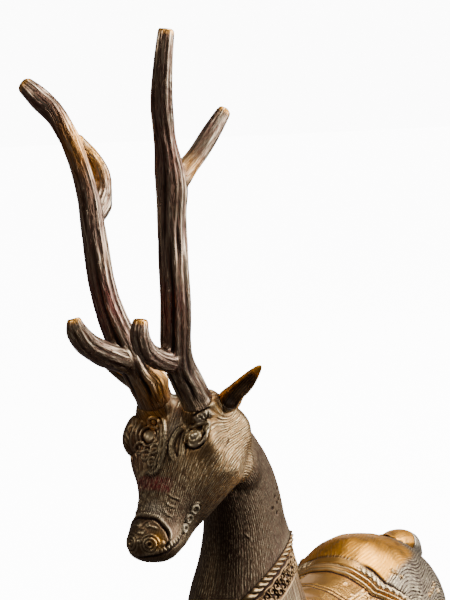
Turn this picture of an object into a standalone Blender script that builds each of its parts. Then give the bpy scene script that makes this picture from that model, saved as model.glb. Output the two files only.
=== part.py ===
"""A seated deer statuette with tall antlers, cast in brass and patinated as bronze.

The figure is a hollow torso closed by a screwed base plate. The neck and head, the folded legs,
the ears and the tail are castings of their own, brazed on. Each antler screws into a tapped bush
in the skull with a threaded stud. The deer faces -Y, its left side is +X and it rests on z = 0.
"""

import math

import bmesh
import bpy
from mathutils import Vector

MM = 0.001
GAP = 0.3  # between pieces that meet
CENTRING = 2.8  # moves the figure back along Y, so that its box is centred on the origin
SIDES = {"left": 1, "right": -1}
UP = Vector((0, 0, 1))
DOWN = Vector((0, 0, -1))

# Driving dimensions, in millimetres.
WALL = 4.0
PLATE_THICKNESS = 2.5
SEAM_POINT = Vector((0, -56, 112.5))  # the braze between torso and neck, hidden by the collar
SEAM_NORMAL = Vector((0, -0.536, 0.844))
COLLAR_HEIGHT = 10.0
COLLAR_STAND_OUT = 1.7
SKULL = Vector((0, -100, 190))
MUZZLE_WAY = Vector((0, -0.577, -0.817))  # from the skull towards the nose
FACE_WAY = Vector((0, -0.817, 0.577))  # out of the flat of the face
ANTLER_SEAT = Vector((13, -106, 212))
ANTLER_WAY = Vector((0, -0.524, 0.852))
SEAT_RADIUS = 8.9
PEDICLE_HEIGHT = 16.0
ORBIT_PLACE = Vector((20, -6, 2.5))  # from the skull's centre
ORBIT_RADIUS = 9.0
STUD_RADIUS = 3.0
STUD_IN_ANTLER = 9.0
STUD_IN_SKULL = 14.0
BUSH_RADIUS = 5.0
BUSH_LENGTH = 15.0
SCREW_RADIUS = 2.0
SCREW_HEAD_RADIUS = 3.6
SCREW_HEAD_HEIGHT = 1.2
SCREW_LENGTH = 12.0
SCREW_PLACES = {
    "front_left": (22, -55),
    "front_right": (-22, -55),
    "rear_left": (23, 85),
    "rear_right": (-23, 85),
}
BOSS_RADIUS = 8.0
BOSS_HEIGHT = 16.0
BOSS_SINK = 2.0  # how far a boss starts below the torso's foot, which trims it
CUT_WIDTH = 400.0  # a square block wider than the figure
CUT_DEPTH = 300.0  # deep enough to take away all that lies beyond a plane
PLATE_BORE_LENGTH = 9.0
OVERSHOOT = 1.0  # how far a cutter runs past the surface that it opens

# Torso sections from chest to rump: place along Y, lowest z, highest z, half width.
TORSO_SECTIONS = [
    (-99, 20, 60, 15),
    (-92, -6, 82, 30),
    (-70, -12, 91, 39),
    (-35, -14, 90, 44),
    (10, -14, 91.5, 45.5),
    (55, -14, 96, 46),
    (93, -14, 90, 45),
    (121, -8, 76, 37),
    (135, 16, 54, 18),
]
# Neck sections from the base up: centre y, centre z, half width, half depth, tilt in degrees.
NECK_SECTIONS = [
    (-53, 66, 33, 46, 0),
    (-54, 84, 31, 42, 4),
    (-53, 101, 27.5, 35, 8),
    (-51, 119, 23, 28, 6),
    (-51, 139, 19.5, 23.5, -2),
    (-55, 158, 18.2, 21.5, -16),
    (-65, 175, 18, 20.5, -36),
    (-80, 188, 15, 17, -52),
]
# Head sections from the poll to the nose: way along the muzzle, face side, jaw side, half width.
HEAD_SECTIONS = [
    (-27, 4, -20, 13),
    (-18, 12, -32, 24),
    (-4, 14.5, -38, 30),
    (8, 15, -36, 30),
    (20, 14, -30, 24),
    (32, 14, -26, 17.5),
    (44, 14, -22, 14.5),
    (55, 15.5, -16, 15),
    (64, 11, -5, 9.5),
]
# Antler limbs: points as x away from the middle, y, z and radius, from the root out.
LEFT_LIMBS = {
    "beam": [
        (13, -106, 212, 8.6),
        (13, -114, 225, 8.6),
        (14.5, -122, 237, 8.2),
        (20.5, -128.5, 265, 7.2),
        (22.8, -131, 295, 6.7),
        (25, -132, 322, 6.1),
        (30, -143, 355, 5.0),
        (35, -147, 375, 4.4),
        (37, -145, 391, 3.8),
    ],
    "brow_tine": [
        (13.5, -120, 234, 7),
        (15, -146, 243, 5.2),
        (15.5, -152.5, 252, 4.8),
        (16, -151.5, 260, 3.4),
    ],
    "upper_tine": [
        (25, -131, 321, 5.2),
        (29, -118, 331, 4.2),
        (32, -107, 342, 3.7),
        (34, -97, 352, 2.8),
    ],
}
RIGHT_LIMBS = {
    "beam": [
        (13, -106, 212, 8.4),
        (13, -114, 225, 8.2),
        (14, -122, 237, 7.6),
        (20.5, -128.5, 265, 6.2),
        (22.7, -131, 295, 5.6),
        (25, -132, 322, 4.6),
        (30, -142, 354, 3.7),
        (36, -147, 364, 3.5),
        (44, -148, 371, 3.2),
    ],
    "brow_tine": [
        (13.5, -120, 233, 7),
        (19, -146, 245, 5.1),
        (22, -151, 253, 4.7),
        (23, -152, 260, 3.4),
    ],
    "upper_tine": [
        (23.6, -130, 304, 4.6),
        (25, -116, 316, 4.0),
        (28, -114.5, 331, 3.3),
        (31, -122, 343, 2.3),
    ],
}
# Leg limbs on the left side, from the root out, in the same form.
LEG_LIMBS = {
    "foreleg": [
        [(23, -46, 56, 17), (34, -78, 38, 14), (34, -106, 16, 10.5)],
        [(34, -108, 11, 9.5), (39, -92, 8, 7.4), (43, -72, 7, 6.6), (44.5, -57, 7.4, 7.2)],
    ],
    "hindleg": [
        [(20, 24, 48, 18), (32, 58, 38, 24), (38, 86, 25, 16), (42, 103, 13, 10.5)],
        [(42, 103, 11, 9.5), (48, 84, 8.5, 7.8), (51, 60, 7.4, 6.8), (51, 42, 7.6, 7.4)],
    ],
}
TAIL_LIMB = [(0, 106, 76, 8), (0, 124, 73, 8.4), (0, 139, 67, 8), (0, 148, 57, 5.2)]
# Ear sections from the root to the tip: way along the ear, half width, half thickness.
EAR_ROOT = Vector((18, -91, 204))
EAR_TIP = Vector((50, -102, 230.5))
EAR_FACE_WAY = Vector((0.45, -0.85, -0.25))
EAR_HOLLOW_SIZE = 0.74
EAR_HOLLOW_FORWARD = 2.4
EAR_SECTIONS = [(0, 5, 4.5), (0.22, 6.6, 4.2), (0.5, 7.2, 3.6), (0.78, 4.8, 2.6), (1, 1.3, 1.2)]


def clear_scene():
    for obj in list(bpy.data.objects):
        bpy.data.objects.remove(obj)


def new_collection(name):
    collection = bpy.data.collections.new(name)
    bpy.context.scene.collection.children.link(collection)
    return collection


def new_material(name, colour, roughness):
    material = bpy.data.materials.new(name)
    material.use_nodes = True
    shader = material.node_tree.nodes["Principled BSDF"]
    shader.inputs["Base Color"].default_value = (*colour, 1)
    shader.inputs["Roughness"].default_value = roughness
    shader.inputs["Metallic"].default_value = 1.0
    return material


def new_object(name, shape, origin=Vector((0, 0, 0))):
    """An object made from a bmesh in millimetres, with its own origin."""
    bmesh.ops.recalc_face_normals(shape, faces=shape.faces)
    bmesh.ops.translate(shape, verts=shape.verts, vec=-origin)
    bmesh.ops.scale(shape, verts=shape.verts, vec=(MM, MM, MM))
    mesh = bpy.data.meshes.new(name)
    shape.to_mesh(mesh)
    shape.free()
    mesh.shade_smooth()
    mesh.set_sharp_from_angle(angle=math.radians(40))
    obj = bpy.data.objects.new(name, mesh)
    obj.location = origin * MM
    return obj


def as_part(obj, material):
    PARTS.objects.link(obj)
    obj.parent = FRAME
    obj.data.materials.clear()
    obj.data.materials.append(material)
    return obj


def as_tool(obj):
    """A shape that only joins or cuts others."""
    TOOLS.objects.link(obj)
    obj.parent = FRAME
    obj.hide_render = True
    obj.display_type = "WIRE"
    return obj


def boolean(obj, operation, tool):
    modifier = obj.modifiers.new(f"{operation.lower()} {tool.name}", "BOOLEAN")
    modifier.operation = operation
    modifier.solver = "EXACT"
    modifier.object = tool


def soft_form(name, rings, grow=0.0, corners=12):
    """A rounded body: a coarse cage of elliptical rings under Subdivision Surface.

    Each ring is its centre, its half width vector and its half depth vector. The cage is drawn
    larger than the body, because subdividing pulls it in.
    """
    swell = 1 / math.cos(math.pi / corners)
    centres = [ring[0] for ring in rings]
    first = centres[0] + (centres[0] - centres[1]).normalized() * grow
    last = centres[-1] + (centres[-1] - centres[-2]).normalized() * grow
    centres = [first, *centres[1:-1], last]
    shape = bmesh.new()
    loops = []
    for centre, (_, across, deep) in zip(centres, rings):
        across = across + across.normalized() * grow
        deep = deep + deep.normalized() * grow
        turns = [2 * math.pi * (corner + 0.5) / corners for corner in range(corners)]
        places = [centre + swell * (across * math.cos(turn) + deep * math.sin(turn)) for turn in turns]
        loops.append([shape.verts.new(place) for place in places])
    for low, high in zip(loops, loops[1:]):
        for corner in range(corners):
            beside = (corner + 1) % corners
            shape.faces.new((low[corner], low[beside], high[beside], high[corner]))
    shape.faces.new(loops[0])
    shape.faces.new(loops[-1])
    obj = new_object(name, shape)
    subdivision = obj.modifiers.new("soften", "SUBSURF")
    subdivision.levels = 1
    subdivision.render_levels = 1
    return obj


def torso_rings():
    rings = []
    for y, low, high, half_width in TORSO_SECTIONS:
        centre = Vector((0, y, (low + high) / 2))
        rings.append((centre, Vector((half_width, 0, 0)), Vector((0, 0, (high - low) / 2))))
    return rings


def neck_rings():
    rings = []
    for y, z, half_width, half_depth, tilt in NECK_SECTIONS:
        way = Vector((0, math.cos(math.radians(tilt)), -math.sin(math.radians(tilt))))
        rings.append((Vector((0, y, z)), Vector((half_width, 0, 0)), way * half_depth))
    return rings


def head_rings():
    rings = []
    for along, face, jaw, half_width in HEAD_SECTIONS:
        centre = SKULL + MUZZLE_WAY * along + FACE_WAY * ((face + jaw) / 2)
        rings.append((centre, Vector((half_width, 0, 0)), FACE_WAY * ((face - jaw) / 2)))
    return rings


def mirrored(place, side):
    return Vector((place[0] * side, place[1], place[2]))


def ear_rings(side, size=1.0, forward=0.0):
    """Rings of the ear's leaf, or of a smaller leaf set forward of it, which hollows it out."""
    length = (EAR_TIP - EAR_ROOT) * size
    root = EAR_ROOT.lerp(EAR_TIP, (1 - size) / 2) + EAR_FACE_WAY.normalized() * forward
    across = length.cross(EAR_FACE_WAY).normalized() * size
    thick = across.cross(length).normalized() * size
    rings = []
    for way, half_width, half_thickness in EAR_SECTIONS:
        ring = (root + length * way, across * half_width, thick * half_thickness)
        rings.append(tuple(mirrored(vector, side) for vector in ring))
    return rings


def round_limb(name, points, side, origin=Vector((0, 0, 0))):
    """A tapering tube through the points, as a mesh with welded caps."""
    curve = bpy.data.curves.new(name, "CURVE")
    curve.dimensions = "3D"
    curve.bevel_depth = MM
    curve.bevel_resolution = 4
    curve.resolution_u = 3
    curve.use_fill_caps = True
    spline = curve.splines.new("BEZIER")
    spline.bezier_points.add(len(points) - 1)
    for knot, (x, y, z, radius) in zip(spline.bezier_points, points):
        knot.co = (Vector((x * side, y, z)) - origin) * MM
        knot.radius = radius
        knot.handle_left_type = knot.handle_right_type = "AUTO"
    guide = bpy.data.objects.new(name + "_guide", curve)
    bpy.context.scene.collection.objects.link(guide)
    graph = bpy.context.evaluated_depsgraph_get()
    mesh = bpy.data.meshes.new_from_object(guide.evaluated_get(graph))
    bpy.data.objects.remove(guide)
    shape = bmesh.new()
    shape.from_mesh(mesh)
    bmesh.ops.remove_doubles(shape, verts=shape.verts, dist=1e-6)
    bmesh.ops.recalc_face_normals(shape, faces=shape.faces)
    shape.to_mesh(mesh)
    shape.free()
    mesh.shade_smooth()
    obj = bpy.data.objects.new(name, mesh)
    obj.location = origin * MM
    return obj


def rod(name, start, end, radius, end_radius=None, origin=None):
    """A straight round bar or cone from start to end."""
    shape = bmesh.new()
    way = end - start
    turn = way.to_track_quat("Z", "Y").to_matrix().to_4x4()
    turn.translation = (start + end) / 2
    bmesh.ops.create_cone(
        shape,
        cap_ends=True,
        segments=24,
        radius1=radius,
        radius2=radius if end_radius is None else end_radius,
        depth=way.length,
        matrix=turn,
    )
    return new_object(name, shape, start if origin is None else origin)


def ball(name, centre, radius):
    shape = bmesh.new()
    bmesh.ops.create_uvsphere(shape, u_segments=20, v_segments=10, radius=radius)
    bmesh.ops.translate(shape, verts=shape.verts, vec=centre)
    return new_object(name, shape)


def slab(name, base, way, height):
    """A wide square block that starts at a plane and rises along its normal."""
    shape = bmesh.new()
    bmesh.ops.create_cube(shape, size=1)
    bmesh.ops.scale(shape, verts=shape.verts, vec=(CUT_WIDTH, CUT_WIDTH, height))
    bmesh.ops.translate(shape, verts=shape.verts, vec=(0, 0, height / 2))
    turn = way.to_track_quat("Z", "Y").to_matrix().to_4x4()
    turn.translation = base
    bmesh.ops.transform(shape, matrix=turn, verts=shape.verts)
    return new_object(name, shape)


def build_torso(bronze):
    torso = as_part(soft_form("torso", torso_rings()), bronze)
    boolean(torso, "UNION", as_tool(soft_form("neck_stub", neck_rings()[:6])))
    boolean(torso, "DIFFERENCE", as_tool(slab("above_seam", SEAM_POINT, SEAM_NORMAL, CUT_DEPTH)))
    boolean(torso, "DIFFERENCE", as_tool(soft_form("torso_core", torso_rings(), -WALL, 8)))
    boolean(torso, "DIFFERENCE", TOOLS.objects["neck_core"])
    floor = Vector((0, 0, PLATE_THICKNESS + GAP))
    for place, (x, y) in SCREW_PLACES.items():
        foot = Vector((x, y, 0)) + floor
        boss_top = foot + Vector((0, 0, BOSS_HEIGHT))
        boss = rod(f"{place}_boss", foot - Vector((0, 0, BOSS_SINK)), boss_top, BOSS_RADIUS)
        boolean(torso, "UNION", as_tool(boss))
        bore_top = Vector((x, y, PLATE_THICKNESS + SCREW_LENGTH))
        bore = rod(f"{place}_bore", Vector((x, y, -OVERSHOOT)), bore_top, SCREW_RADIUS + GAP)
        boolean(torso, "DIFFERENCE", as_tool(bore))
    boolean(torso, "DIFFERENCE", as_tool(slab("below_torso", floor, DOWN, CUT_DEPTH)))


def pedicle(name, side, grow=0.0):
    """The skull's boss under an antler."""
    seat = mirrored(ANTLER_SEAT, side) - ANTLER_WAY * GAP
    foot = seat - ANTLER_WAY * PEDICLE_HEIGHT
    return rod(name, foot, seat, SEAT_RADIUS + 2 + grow, SEAT_RADIUS + grow)


def orbit(name, side, grow=0.0):
    """The bulge that holds an eye."""
    return ball(name, SKULL + mirrored(ORBIT_PLACE, side), ORBIT_RADIUS + grow)


def build_neck_and_head(bronze):
    head = as_part(soft_form("neck_head", head_rings()), bronze)
    boolean(head, "UNION", as_tool(soft_form("neck_form", neck_rings())))
    for label, side in SIDES.items():
        boolean(head, "UNION", as_tool(pedicle(f"pedicle_{label}", side)))
        boolean(head, "UNION", as_tool(orbit(f"orbit_{label}", side)))
        seat = mirrored(ANTLER_SEAT, side)
        bore_ends = [seat - ANTLER_WAY * (BUSH_LENGTH + 2 * GAP), seat + ANTLER_WAY * OVERSHOOT]
        boolean(head, "DIFFERENCE", as_tool(rod(f"socket_bore_{label}", *bore_ends, BUSH_RADIUS + GAP)))
    under = SEAM_POINT + SEAM_NORMAL * GAP
    boolean(head, "DIFFERENCE", as_tool(slab("below_seam", under, -SEAM_NORMAL, CUT_DEPTH)))
    boolean(head, "DIFFERENCE", TOOLS.objects["neck_core"])


def build_collar(bronze):
    collar = as_part(soft_form("neck_collar", neck_rings()[:7], COLLAR_STAND_OUT), bronze)
    edge = SEAM_POINT - SEAM_NORMAL * (COLLAR_HEIGHT / 2)
    boolean(collar, "INTERSECT", as_tool(slab("collar_band", edge, SEAM_NORMAL, COLLAR_HEIGHT)))
    boolean(collar, "DIFFERENCE", as_tool(soft_form("neck_outline", neck_rings(), GAP)))
    boolean(collar, "DIFFERENCE", TOOLS.objects["torso_outline"])


def build_ears(bronze):
    head_outline = as_tool(soft_form("head_outline", head_rings(), GAP))
    for label, side in SIDES.items():
        ear = as_part(soft_form(f"ear_{label}", ear_rings(side), corners=8), bronze)
        hollow = ear_rings(side, EAR_HOLLOW_SIZE, EAR_HOLLOW_FORWARD)
        boolean(ear, "DIFFERENCE", as_tool(soft_form(f"ear_hollow_{label}", hollow, corners=8)))
        boolean(ear, "DIFFERENCE", head_outline)
        boolean(ear, "DIFFERENCE", TOOLS.objects["neck_outline"])
        boolean(ear, "DIFFERENCE", as_tool(pedicle(f"pedicle_outline_{label}", side, GAP)))
        boolean(ear, "DIFFERENCE", as_tool(orbit(f"orbit_outline_{label}", side, GAP)))


def build_antlers(antler_bronze, steel):
    for label, side in SIDES.items():
        limbs = LEFT_LIMBS if side > 0 else RIGHT_LIMBS
        seat = mirrored(ANTLER_SEAT, side)
        antler = as_part(round_limb(f"antler_{label}", limbs["beam"], side, seat), antler_bronze)
        for tine in ("brow_tine", "upper_tine"):
            boolean(antler, "UNION", as_tool(round_limb(f"{tine}_{label}", limbs[tine], side)))
        under_seat = as_tool(slab(f"below_antler_{label}", seat, -ANTLER_WAY, CUT_DEPTH))
        boolean(antler, "DIFFERENCE", under_seat)
        bore_end = seat + ANTLER_WAY * (STUD_IN_ANTLER + GAP)
        stud_bore = rod(f"stud_bore_{label}", seat - ANTLER_WAY * OVERSHOOT, bore_end, STUD_RADIUS + GAP)
        boolean(antler, "DIFFERENCE", as_tool(stud_bore))

        stud_ends = [seat - ANTLER_WAY * STUD_IN_SKULL, seat + ANTLER_WAY * STUD_IN_ANTLER]
        as_part(rod(f"antler_{label}_stud", *stud_ends, STUD_RADIUS, origin=seat), steel)
        bush_top = seat - ANTLER_WAY * (2 * GAP)
        bush_foot = seat - ANTLER_WAY * BUSH_LENGTH
        bush = as_part(rod(f"antler_socket_{label}", bush_foot, bush_top, BUSH_RADIUS), steel)
        thread = [seat - ANTLER_WAY * (BUSH_LENGTH + OVERSHOOT), seat + ANTLER_WAY * OVERSHOOT]
        boolean(bush, "DIFFERENCE", as_tool(rod(f"tapped_bore_{label}", *thread, STUD_RADIUS + GAP)))


def build_legs_and_tail(bronze, polished):
    torso_outline = TOOLS.objects["torso_outline"]
    below_ground = as_tool(slab("below_ground", Vector((0, 0, 0)), DOWN, CUT_DEPTH))
    for label, side in SIDES.items():
        for leg_name, limbs in LEG_LIMBS.items():
            leg = as_part(round_limb(f"{leg_name}_{label}", limbs[0], side), bronze)
            boolean(leg, "UNION", as_tool(round_limb(f"{leg_name}_{label}_shank", limbs[1], side)))
            *bend, bend_radius = limbs[0][-1]
            joint = ball(f"{leg_name}_{label}_bend", mirrored(bend, side), bend_radius + 0.5)
            boolean(leg, "UNION", as_tool(joint))
            boolean(leg, "DIFFERENCE", torso_outline)
            boolean(leg, "DIFFERENCE", below_ground)
    tail = as_part(round_limb("tail", TAIL_LIMB, 1), polished)
    boolean(tail, "DIFFERENCE", torso_outline)


def build_base(plate_brass, steel):
    plate = as_part(soft_form("base_plate", torso_rings()), plate_brass)
    sheet = as_tool(slab("plate_sheet", Vector((0, 0, 0)), UP, PLATE_THICKNESS))
    boolean(plate, "INTERSECT", sheet)
    for place, (x, y) in SCREW_PLACES.items():
        below = Vector((x, y, -OVERSHOOT))
        head_foot = Vector((x, y, GAP))
        head_top = Vector((x, y, SCREW_HEAD_HEIGHT))
        clearance = rod(f"{place}_clearance", below, below + UP * PLATE_BORE_LENGTH, SCREW_RADIUS + GAP)
        boolean(plate, "DIFFERENCE", as_tool(clearance))
        recess = rod(f"{place}_recess", below, head_top + UP * GAP, SCREW_HEAD_RADIUS + GAP)
        boolean(plate, "DIFFERENCE", as_tool(recess))
        shank_end = Vector((x, y, SCREW_LENGTH))
        screw = as_part(rod(f"base_screw_{place}", head_foot, shank_end, SCREW_RADIUS), steel)
        screw_head = rod(f"{place}_screw_head", head_foot, head_top, SCREW_HEAD_RADIUS)
        boolean(screw, "UNION", as_tool(screw_head))


clear_scene()
PARTS = new_collection("bronze_deer_statuette")
TOOLS = new_collection("tools")
FRAME = bpy.data.objects.new("deer_frame", None)
FRAME.location = (0, CENTRING * MM, 0)
PARTS.objects.link(FRAME)
bronze = new_material("bronze", (0.17, 0.12, 0.07), 0.42)
antler_bronze = new_material("antler_bronze", (0.15, 0.10, 0.06), 0.45)
polished_bronze = new_material("polished_bronze", (0.52, 0.33, 0.12), 0.32)
plate_brass = new_material("plate_brass", (0.40, 0.29, 0.13), 0.4)
steel = new_material("steel", (0.46, 0.45, 0.43), 0.35)
as_tool(soft_form("torso_outline", torso_rings(), GAP))
as_tool(soft_form("neck_core", neck_rings()[:7], -WALL, 8))
build_torso(bronze)
build_neck_and_head(bronze)
build_collar(polished_bronze)
build_ears(bronze)
build_antlers(antler_bronze, steel)
build_legs_and_tail(bronze, polished_bronze)
build_base(plate_brass, steel)
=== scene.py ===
"""The looks of the seated bronze deer: cast forms, chased detail and patina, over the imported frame.

Lengths are in millimetres in the deer's own frame unless a name says otherwise: the deer faces -Y,
its left side is +X, and the frame's origin lies CENTRING behind the deer's own.
"""

import math

import bmesh
import bpy
import numpy as np
from mathutils import Matrix, Vector
from mathutils.bvhtree import BVHTree

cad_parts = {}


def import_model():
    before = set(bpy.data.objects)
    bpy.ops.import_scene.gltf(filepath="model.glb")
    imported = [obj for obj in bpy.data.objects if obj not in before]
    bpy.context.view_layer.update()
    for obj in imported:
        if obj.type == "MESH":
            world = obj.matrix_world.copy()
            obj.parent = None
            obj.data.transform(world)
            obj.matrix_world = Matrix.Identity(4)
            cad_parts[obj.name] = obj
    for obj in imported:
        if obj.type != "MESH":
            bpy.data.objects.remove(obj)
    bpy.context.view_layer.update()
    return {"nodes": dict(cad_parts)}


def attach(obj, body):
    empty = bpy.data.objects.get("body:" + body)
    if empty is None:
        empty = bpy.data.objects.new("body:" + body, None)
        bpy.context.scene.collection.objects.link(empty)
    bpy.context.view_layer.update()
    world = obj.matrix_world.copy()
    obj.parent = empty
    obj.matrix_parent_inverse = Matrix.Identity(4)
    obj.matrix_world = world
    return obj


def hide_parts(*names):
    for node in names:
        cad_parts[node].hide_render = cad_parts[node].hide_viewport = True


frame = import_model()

MM = 0.001
CENTRING = 2.8
SIDES = {"left": 1, "right": -1}
HAIR_PITCH = 1.08  # from one chased hair line to the next
TOWARDS_RIGHT = np.array([0.84, 0.54, 0])  # level, to the right as the camera looks
SEAM_COVER = 3.4  # how far the skins of neck and torso reach over their joint
NECK_RADIUS = 21  # turns an angle round the neck into a length
SEAM_REACH = 42  # the joint lies within this distance of the neck's root

# The deer's lines, as the castings have them.
SKULL = np.array([0, -100, 190.0])
MUZZLE_WAY = np.array([0, -0.577, -0.817])
FACE_WAY = np.array([0, -0.817, 0.577])
NECK_ROOT = np.array([0, -54.0])
ANTLER_SEAT = np.array([13, -106, 212.0])
ANTLER_WAY = np.array([0, -0.524, 0.852])
SEAM_POINT = np.array([0, -56, 112.5])
SEAM_NORMAL = np.array([0, -0.536, 0.844])
SPINE = [  # the line through neck, skull and muzzle
    (0, -52, 60), (0, -54, 84), (0, -52, 104), (0, -50, 124), (0, -51, 142), (0, -56, 158),
    (0, -66, 173), (0, -80, 182), (0, -94, 180), (0, -104, 172), (0, -112, 162), (0, -121, 150),
    (0, -131, 137),
]
LIMBS = {  # antler limbs from the root out: x away from the middle, y, z, radius
    "left": {
        "beam": [
            (13, -106, 212, 8.6), (13, -114, 225, 8.6), (14.5, -122, 237, 8.2), (20.5, -128.5, 265, 7.2),
            (22.8, -131, 295, 6.7), (25, -132, 322, 6.1), (30, -143, 355, 5), (35, -147, 375, 4.4),
            (37, -145, 391, 3.8),
        ],
        "brow_tine": [
            (13.5, -120, 234, 7), (15, -146, 243, 5.2), (15.5, -152.5, 252, 4.8), (16, -151.5, 260, 3.4),
        ],
        "upper_tine": [(25, -131, 321, 5.2), (29, -118, 331, 4.2), (32, -107, 342, 3.7), (34, -97, 352, 2.8)],
    },
    "right": {
        "beam": [
            (13, -106, 212, 8.4), (13, -114, 225, 8.2), (14, -122, 237, 7.6), (20.5, -128.5, 265, 6.2),
            (22.7, -131, 295, 5.6), (25, -132, 322, 4.6), (30, -142, 354, 3.7), (36, -147, 364, 3.5),
            (44, -148, 371, 3.2),
        ],
        "brow_tine": [(13.5, -120, 233, 7), (19, -146, 245, 5.1), (22, -151, 253, 4.7), (23, -152, 260, 3.4)],
        "upper_tine": [
            (23.6, -130, 304, 4.6), (25, -116, 316, 4), (28, -114.5, 331, 3.3), (31, -122, 343, 2.3),
        ],
    },
}
LEGS = {  # each leg's line, the way its hoof points and its knee or hock
    "foreleg": (
        [(23, -46, 56), (34, -78, 38), (34, -107, 14), (39, -92, 8), (43, -72, 7), (44.5, -57, 7.4)],
        (0.1, 0.99, 0.03), (34, -108, 13),
    ),
    "hindleg": (
        [
            (20, 24, 48), (32, 58, 38), (38, 86, 25), (42, 103, 12), (48, 84, 8.5), (51, 60, 7.4),
            (51, 42, 7.6),
        ],
        (0, -1, 0), (42, 104, 12),
    ),
}


# ---------------- camera, floor and light

def add_object(name, data):
    obj = bpy.data.objects.new(name, data)
    bpy.context.scene.collection.objects.link(obj)
    return obj


def make_camera():
    """The photographer stands off the deer's front left, a little above it."""
    azimuth, pitch, roll = math.radians(33), math.radians(7.83), math.radians(4)
    level = Vector((-math.sin(azimuth), math.cos(azimuth), 0))
    sideways = Vector((math.cos(azimuth), math.sin(azimuth), 0))
    ahead = level * math.cos(pitch) - Vector((0, 0, 1)) * math.sin(pitch)
    upward = Vector((0, 0, 1)) * math.cos(pitch) + level * math.sin(pitch)
    right = sideways * math.cos(roll) - upward * math.sin(roll)
    up = sideways * math.sin(roll) + upward * math.cos(roll)
    data = bpy.data.cameras.new("camera")
    data.lens = 96
    data.sensor_width = 36
    camera = add_object("camera", data)
    place = Matrix((right, up, -ahead)).transposed().to_4x4()
    place.translation = Vector((447.4, -743.34 + CENTRING, 366.77)) * MM
    camera.matrix_world = place
    bpy.context.scene.camera = camera


def area_light(name, place, aim, size, power, colour=(1, 1, 1)):
    data = bpy.data.lights.new(name, "AREA")
    data.shape = "RECTANGLE"
    data.size, data.size_y = size
    data.energy = power
    data.color = colour
    light = add_object(name, data)
    light.location = place
    light.rotation_euler = (Vector(aim) - Vector(place)).to_track_quat("-Z", "Y").to_euler()
    light.visible_camera = False


def make_studio():
    """A white sweep that only the camera sees, so that the bronze keeps the dark of the room."""
    shape = bmesh.new()
    bmesh.ops.create_grid(shape, x_segments=1, y_segments=1, size=8)
    mesh = bpy.data.meshes.new("floor")
    shape.to_mesh(mesh)
    shape.free()
    floor = add_object("floor", mesh)
    floor.location.z = -0.0005
    floor.visible_glossy = False
    paper = bpy.data.materials.new("studio_paper")
    paper.use_nodes = True
    shader = paper.node_tree.nodes["Principled BSDF"]
    shader.inputs["Base Color"].default_value = (0.9, 0.9, 0.9, 1)
    shader.inputs["Roughness"].default_value = 0.9
    shader.inputs["Emission Color"].default_value = (1, 1, 1, 1)
    shader.inputs["Emission Strength"].default_value = 12.0
    mesh.materials.append(paper)
    floor.visible_diffuse = False

    world = bpy.data.worlds.new("studio")
    bpy.context.scene.world = world
    world.use_nodes = True
    tree = world.node_tree
    room = tree.nodes["Background"]
    room.inputs["Color"].default_value = (1.0, 0.86, 0.84, 1)
    room.inputs["Strength"].default_value = 0.11
    seen = tree.nodes.new("ShaderNodeBackground")
    seen.inputs["Strength"].default_value = 14.0
    path = tree.nodes.new("ShaderNodeLightPath")
    mix = tree.nodes.new("ShaderNodeMixShader")
    tree.links.new(path.outputs["Is Camera Ray"], mix.inputs["Fac"])
    tree.links.new(room.outputs["Background"], mix.inputs[1])
    tree.links.new(seen.outputs["Background"], mix.inputs[2])
    tree.links.new(mix.outputs["Shader"], tree.nodes["World Output"].inputs["Surface"])

    area_light("window", (1.1, 0.8, 0.5), (0, 0, 0.2), (1.25, 1.2), 50, (1, 0.985, 0.96))
    area_light("overhead", (0.35, 0.3, 1.4), (0, 0.05, 0.15), (0.8, 0.8), 26, (1, 0.96, 0.9))
    area_light("sweep_glow", (-0.75, 1.35, 0.35), (0, 0.05, 0.12), (0.6, 0.35), 1.0, (1, 0.95, 0.88))
    area_light("front_fill", (-0.45, -1.4, 1.1), (0, -0.1, 0.2), (0.35, 0.35), 5.5, (1, 0.94, 0.84))


# ---------------- meshes as arrays

def own(points_m):
    """World metres to the deer's millimetres."""
    return points_m / MM - np.array([0, CENTRING, 0])


def world(points):
    return (points + np.array([0, CENTRING, 0])) * MM


def ease(values, low, high):
    """From 0 at low to 1 at high, level at both ends."""
    t = np.clip((values - low) / (high - low), 0, 1)
    return t * t * (3 - 2 * t)


def arch(values, at=0.0, width=1.0):
    """1 where the values are at, falling to 0 a width away on either side."""
    return np.clip(1 - ((values - at) / width) ** 2, 0, 1)


def casting(node_name, cell, rounds, soften=()):
    """A copy of a CAD node, remeshed evenly, its facets smoothed away and subdivided.

    Each of soften is a centre, a radius, how far it first swells there and the rounds of smoothing.
    """
    obj = add_object(node_name + "_cast", frame["nodes"][node_name].data.copy())
    remesh = obj.modifiers.new("even", "REMESH")
    remesh.mode = "VOXEL"
    remesh.voxel_size = cell * MM
    smooth = obj.modifiers.new("smooth", "SMOOTH")
    smooth.factor = 0.5
    smooth.iterations = rounds
    bake(obj)
    for centre, radius, fill, more in soften:
        points = vertices(obj.data)
        away = np.linalg.norm(points - np.array(centre), axis=1)
        weights = np.clip(1.6 * (1 - away / radius), 0, 1)
        points += normals(obj.data) * (fill * ease(weights, 0, 1))[:, None]
        obj.data.vertices.foreach_set("co", world(points).astype(np.float32).ravel())
        obj.data.update()
        group = obj.vertex_groups.new(name="soften")
        for index in np.nonzero(weights > 0.02)[0]:
            group.add([int(index)], float(weights[index]), "REPLACE")
        smooth = obj.modifiers.new("soften", "SMOOTH")
        smooth.vertex_group = "soften"
        smooth.factor = 0.6
        smooth.iterations = more
        bake(obj)
    subdivide = obj.modifiers.new("fine", "SUBSURF")
    subdivide.levels = subdivide.render_levels = 1
    bake(obj)
    obj.data.materials.clear()
    obj.data.shade_smooth()
    return obj


def bake(obj):
    graph = bpy.context.evaluated_depsgraph_get()
    mesh = bpy.data.meshes.new_from_object(obj.evaluated_get(graph))
    obj.modifiers.clear()
    obj.vertex_groups.clear()
    obj.data = mesh


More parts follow.
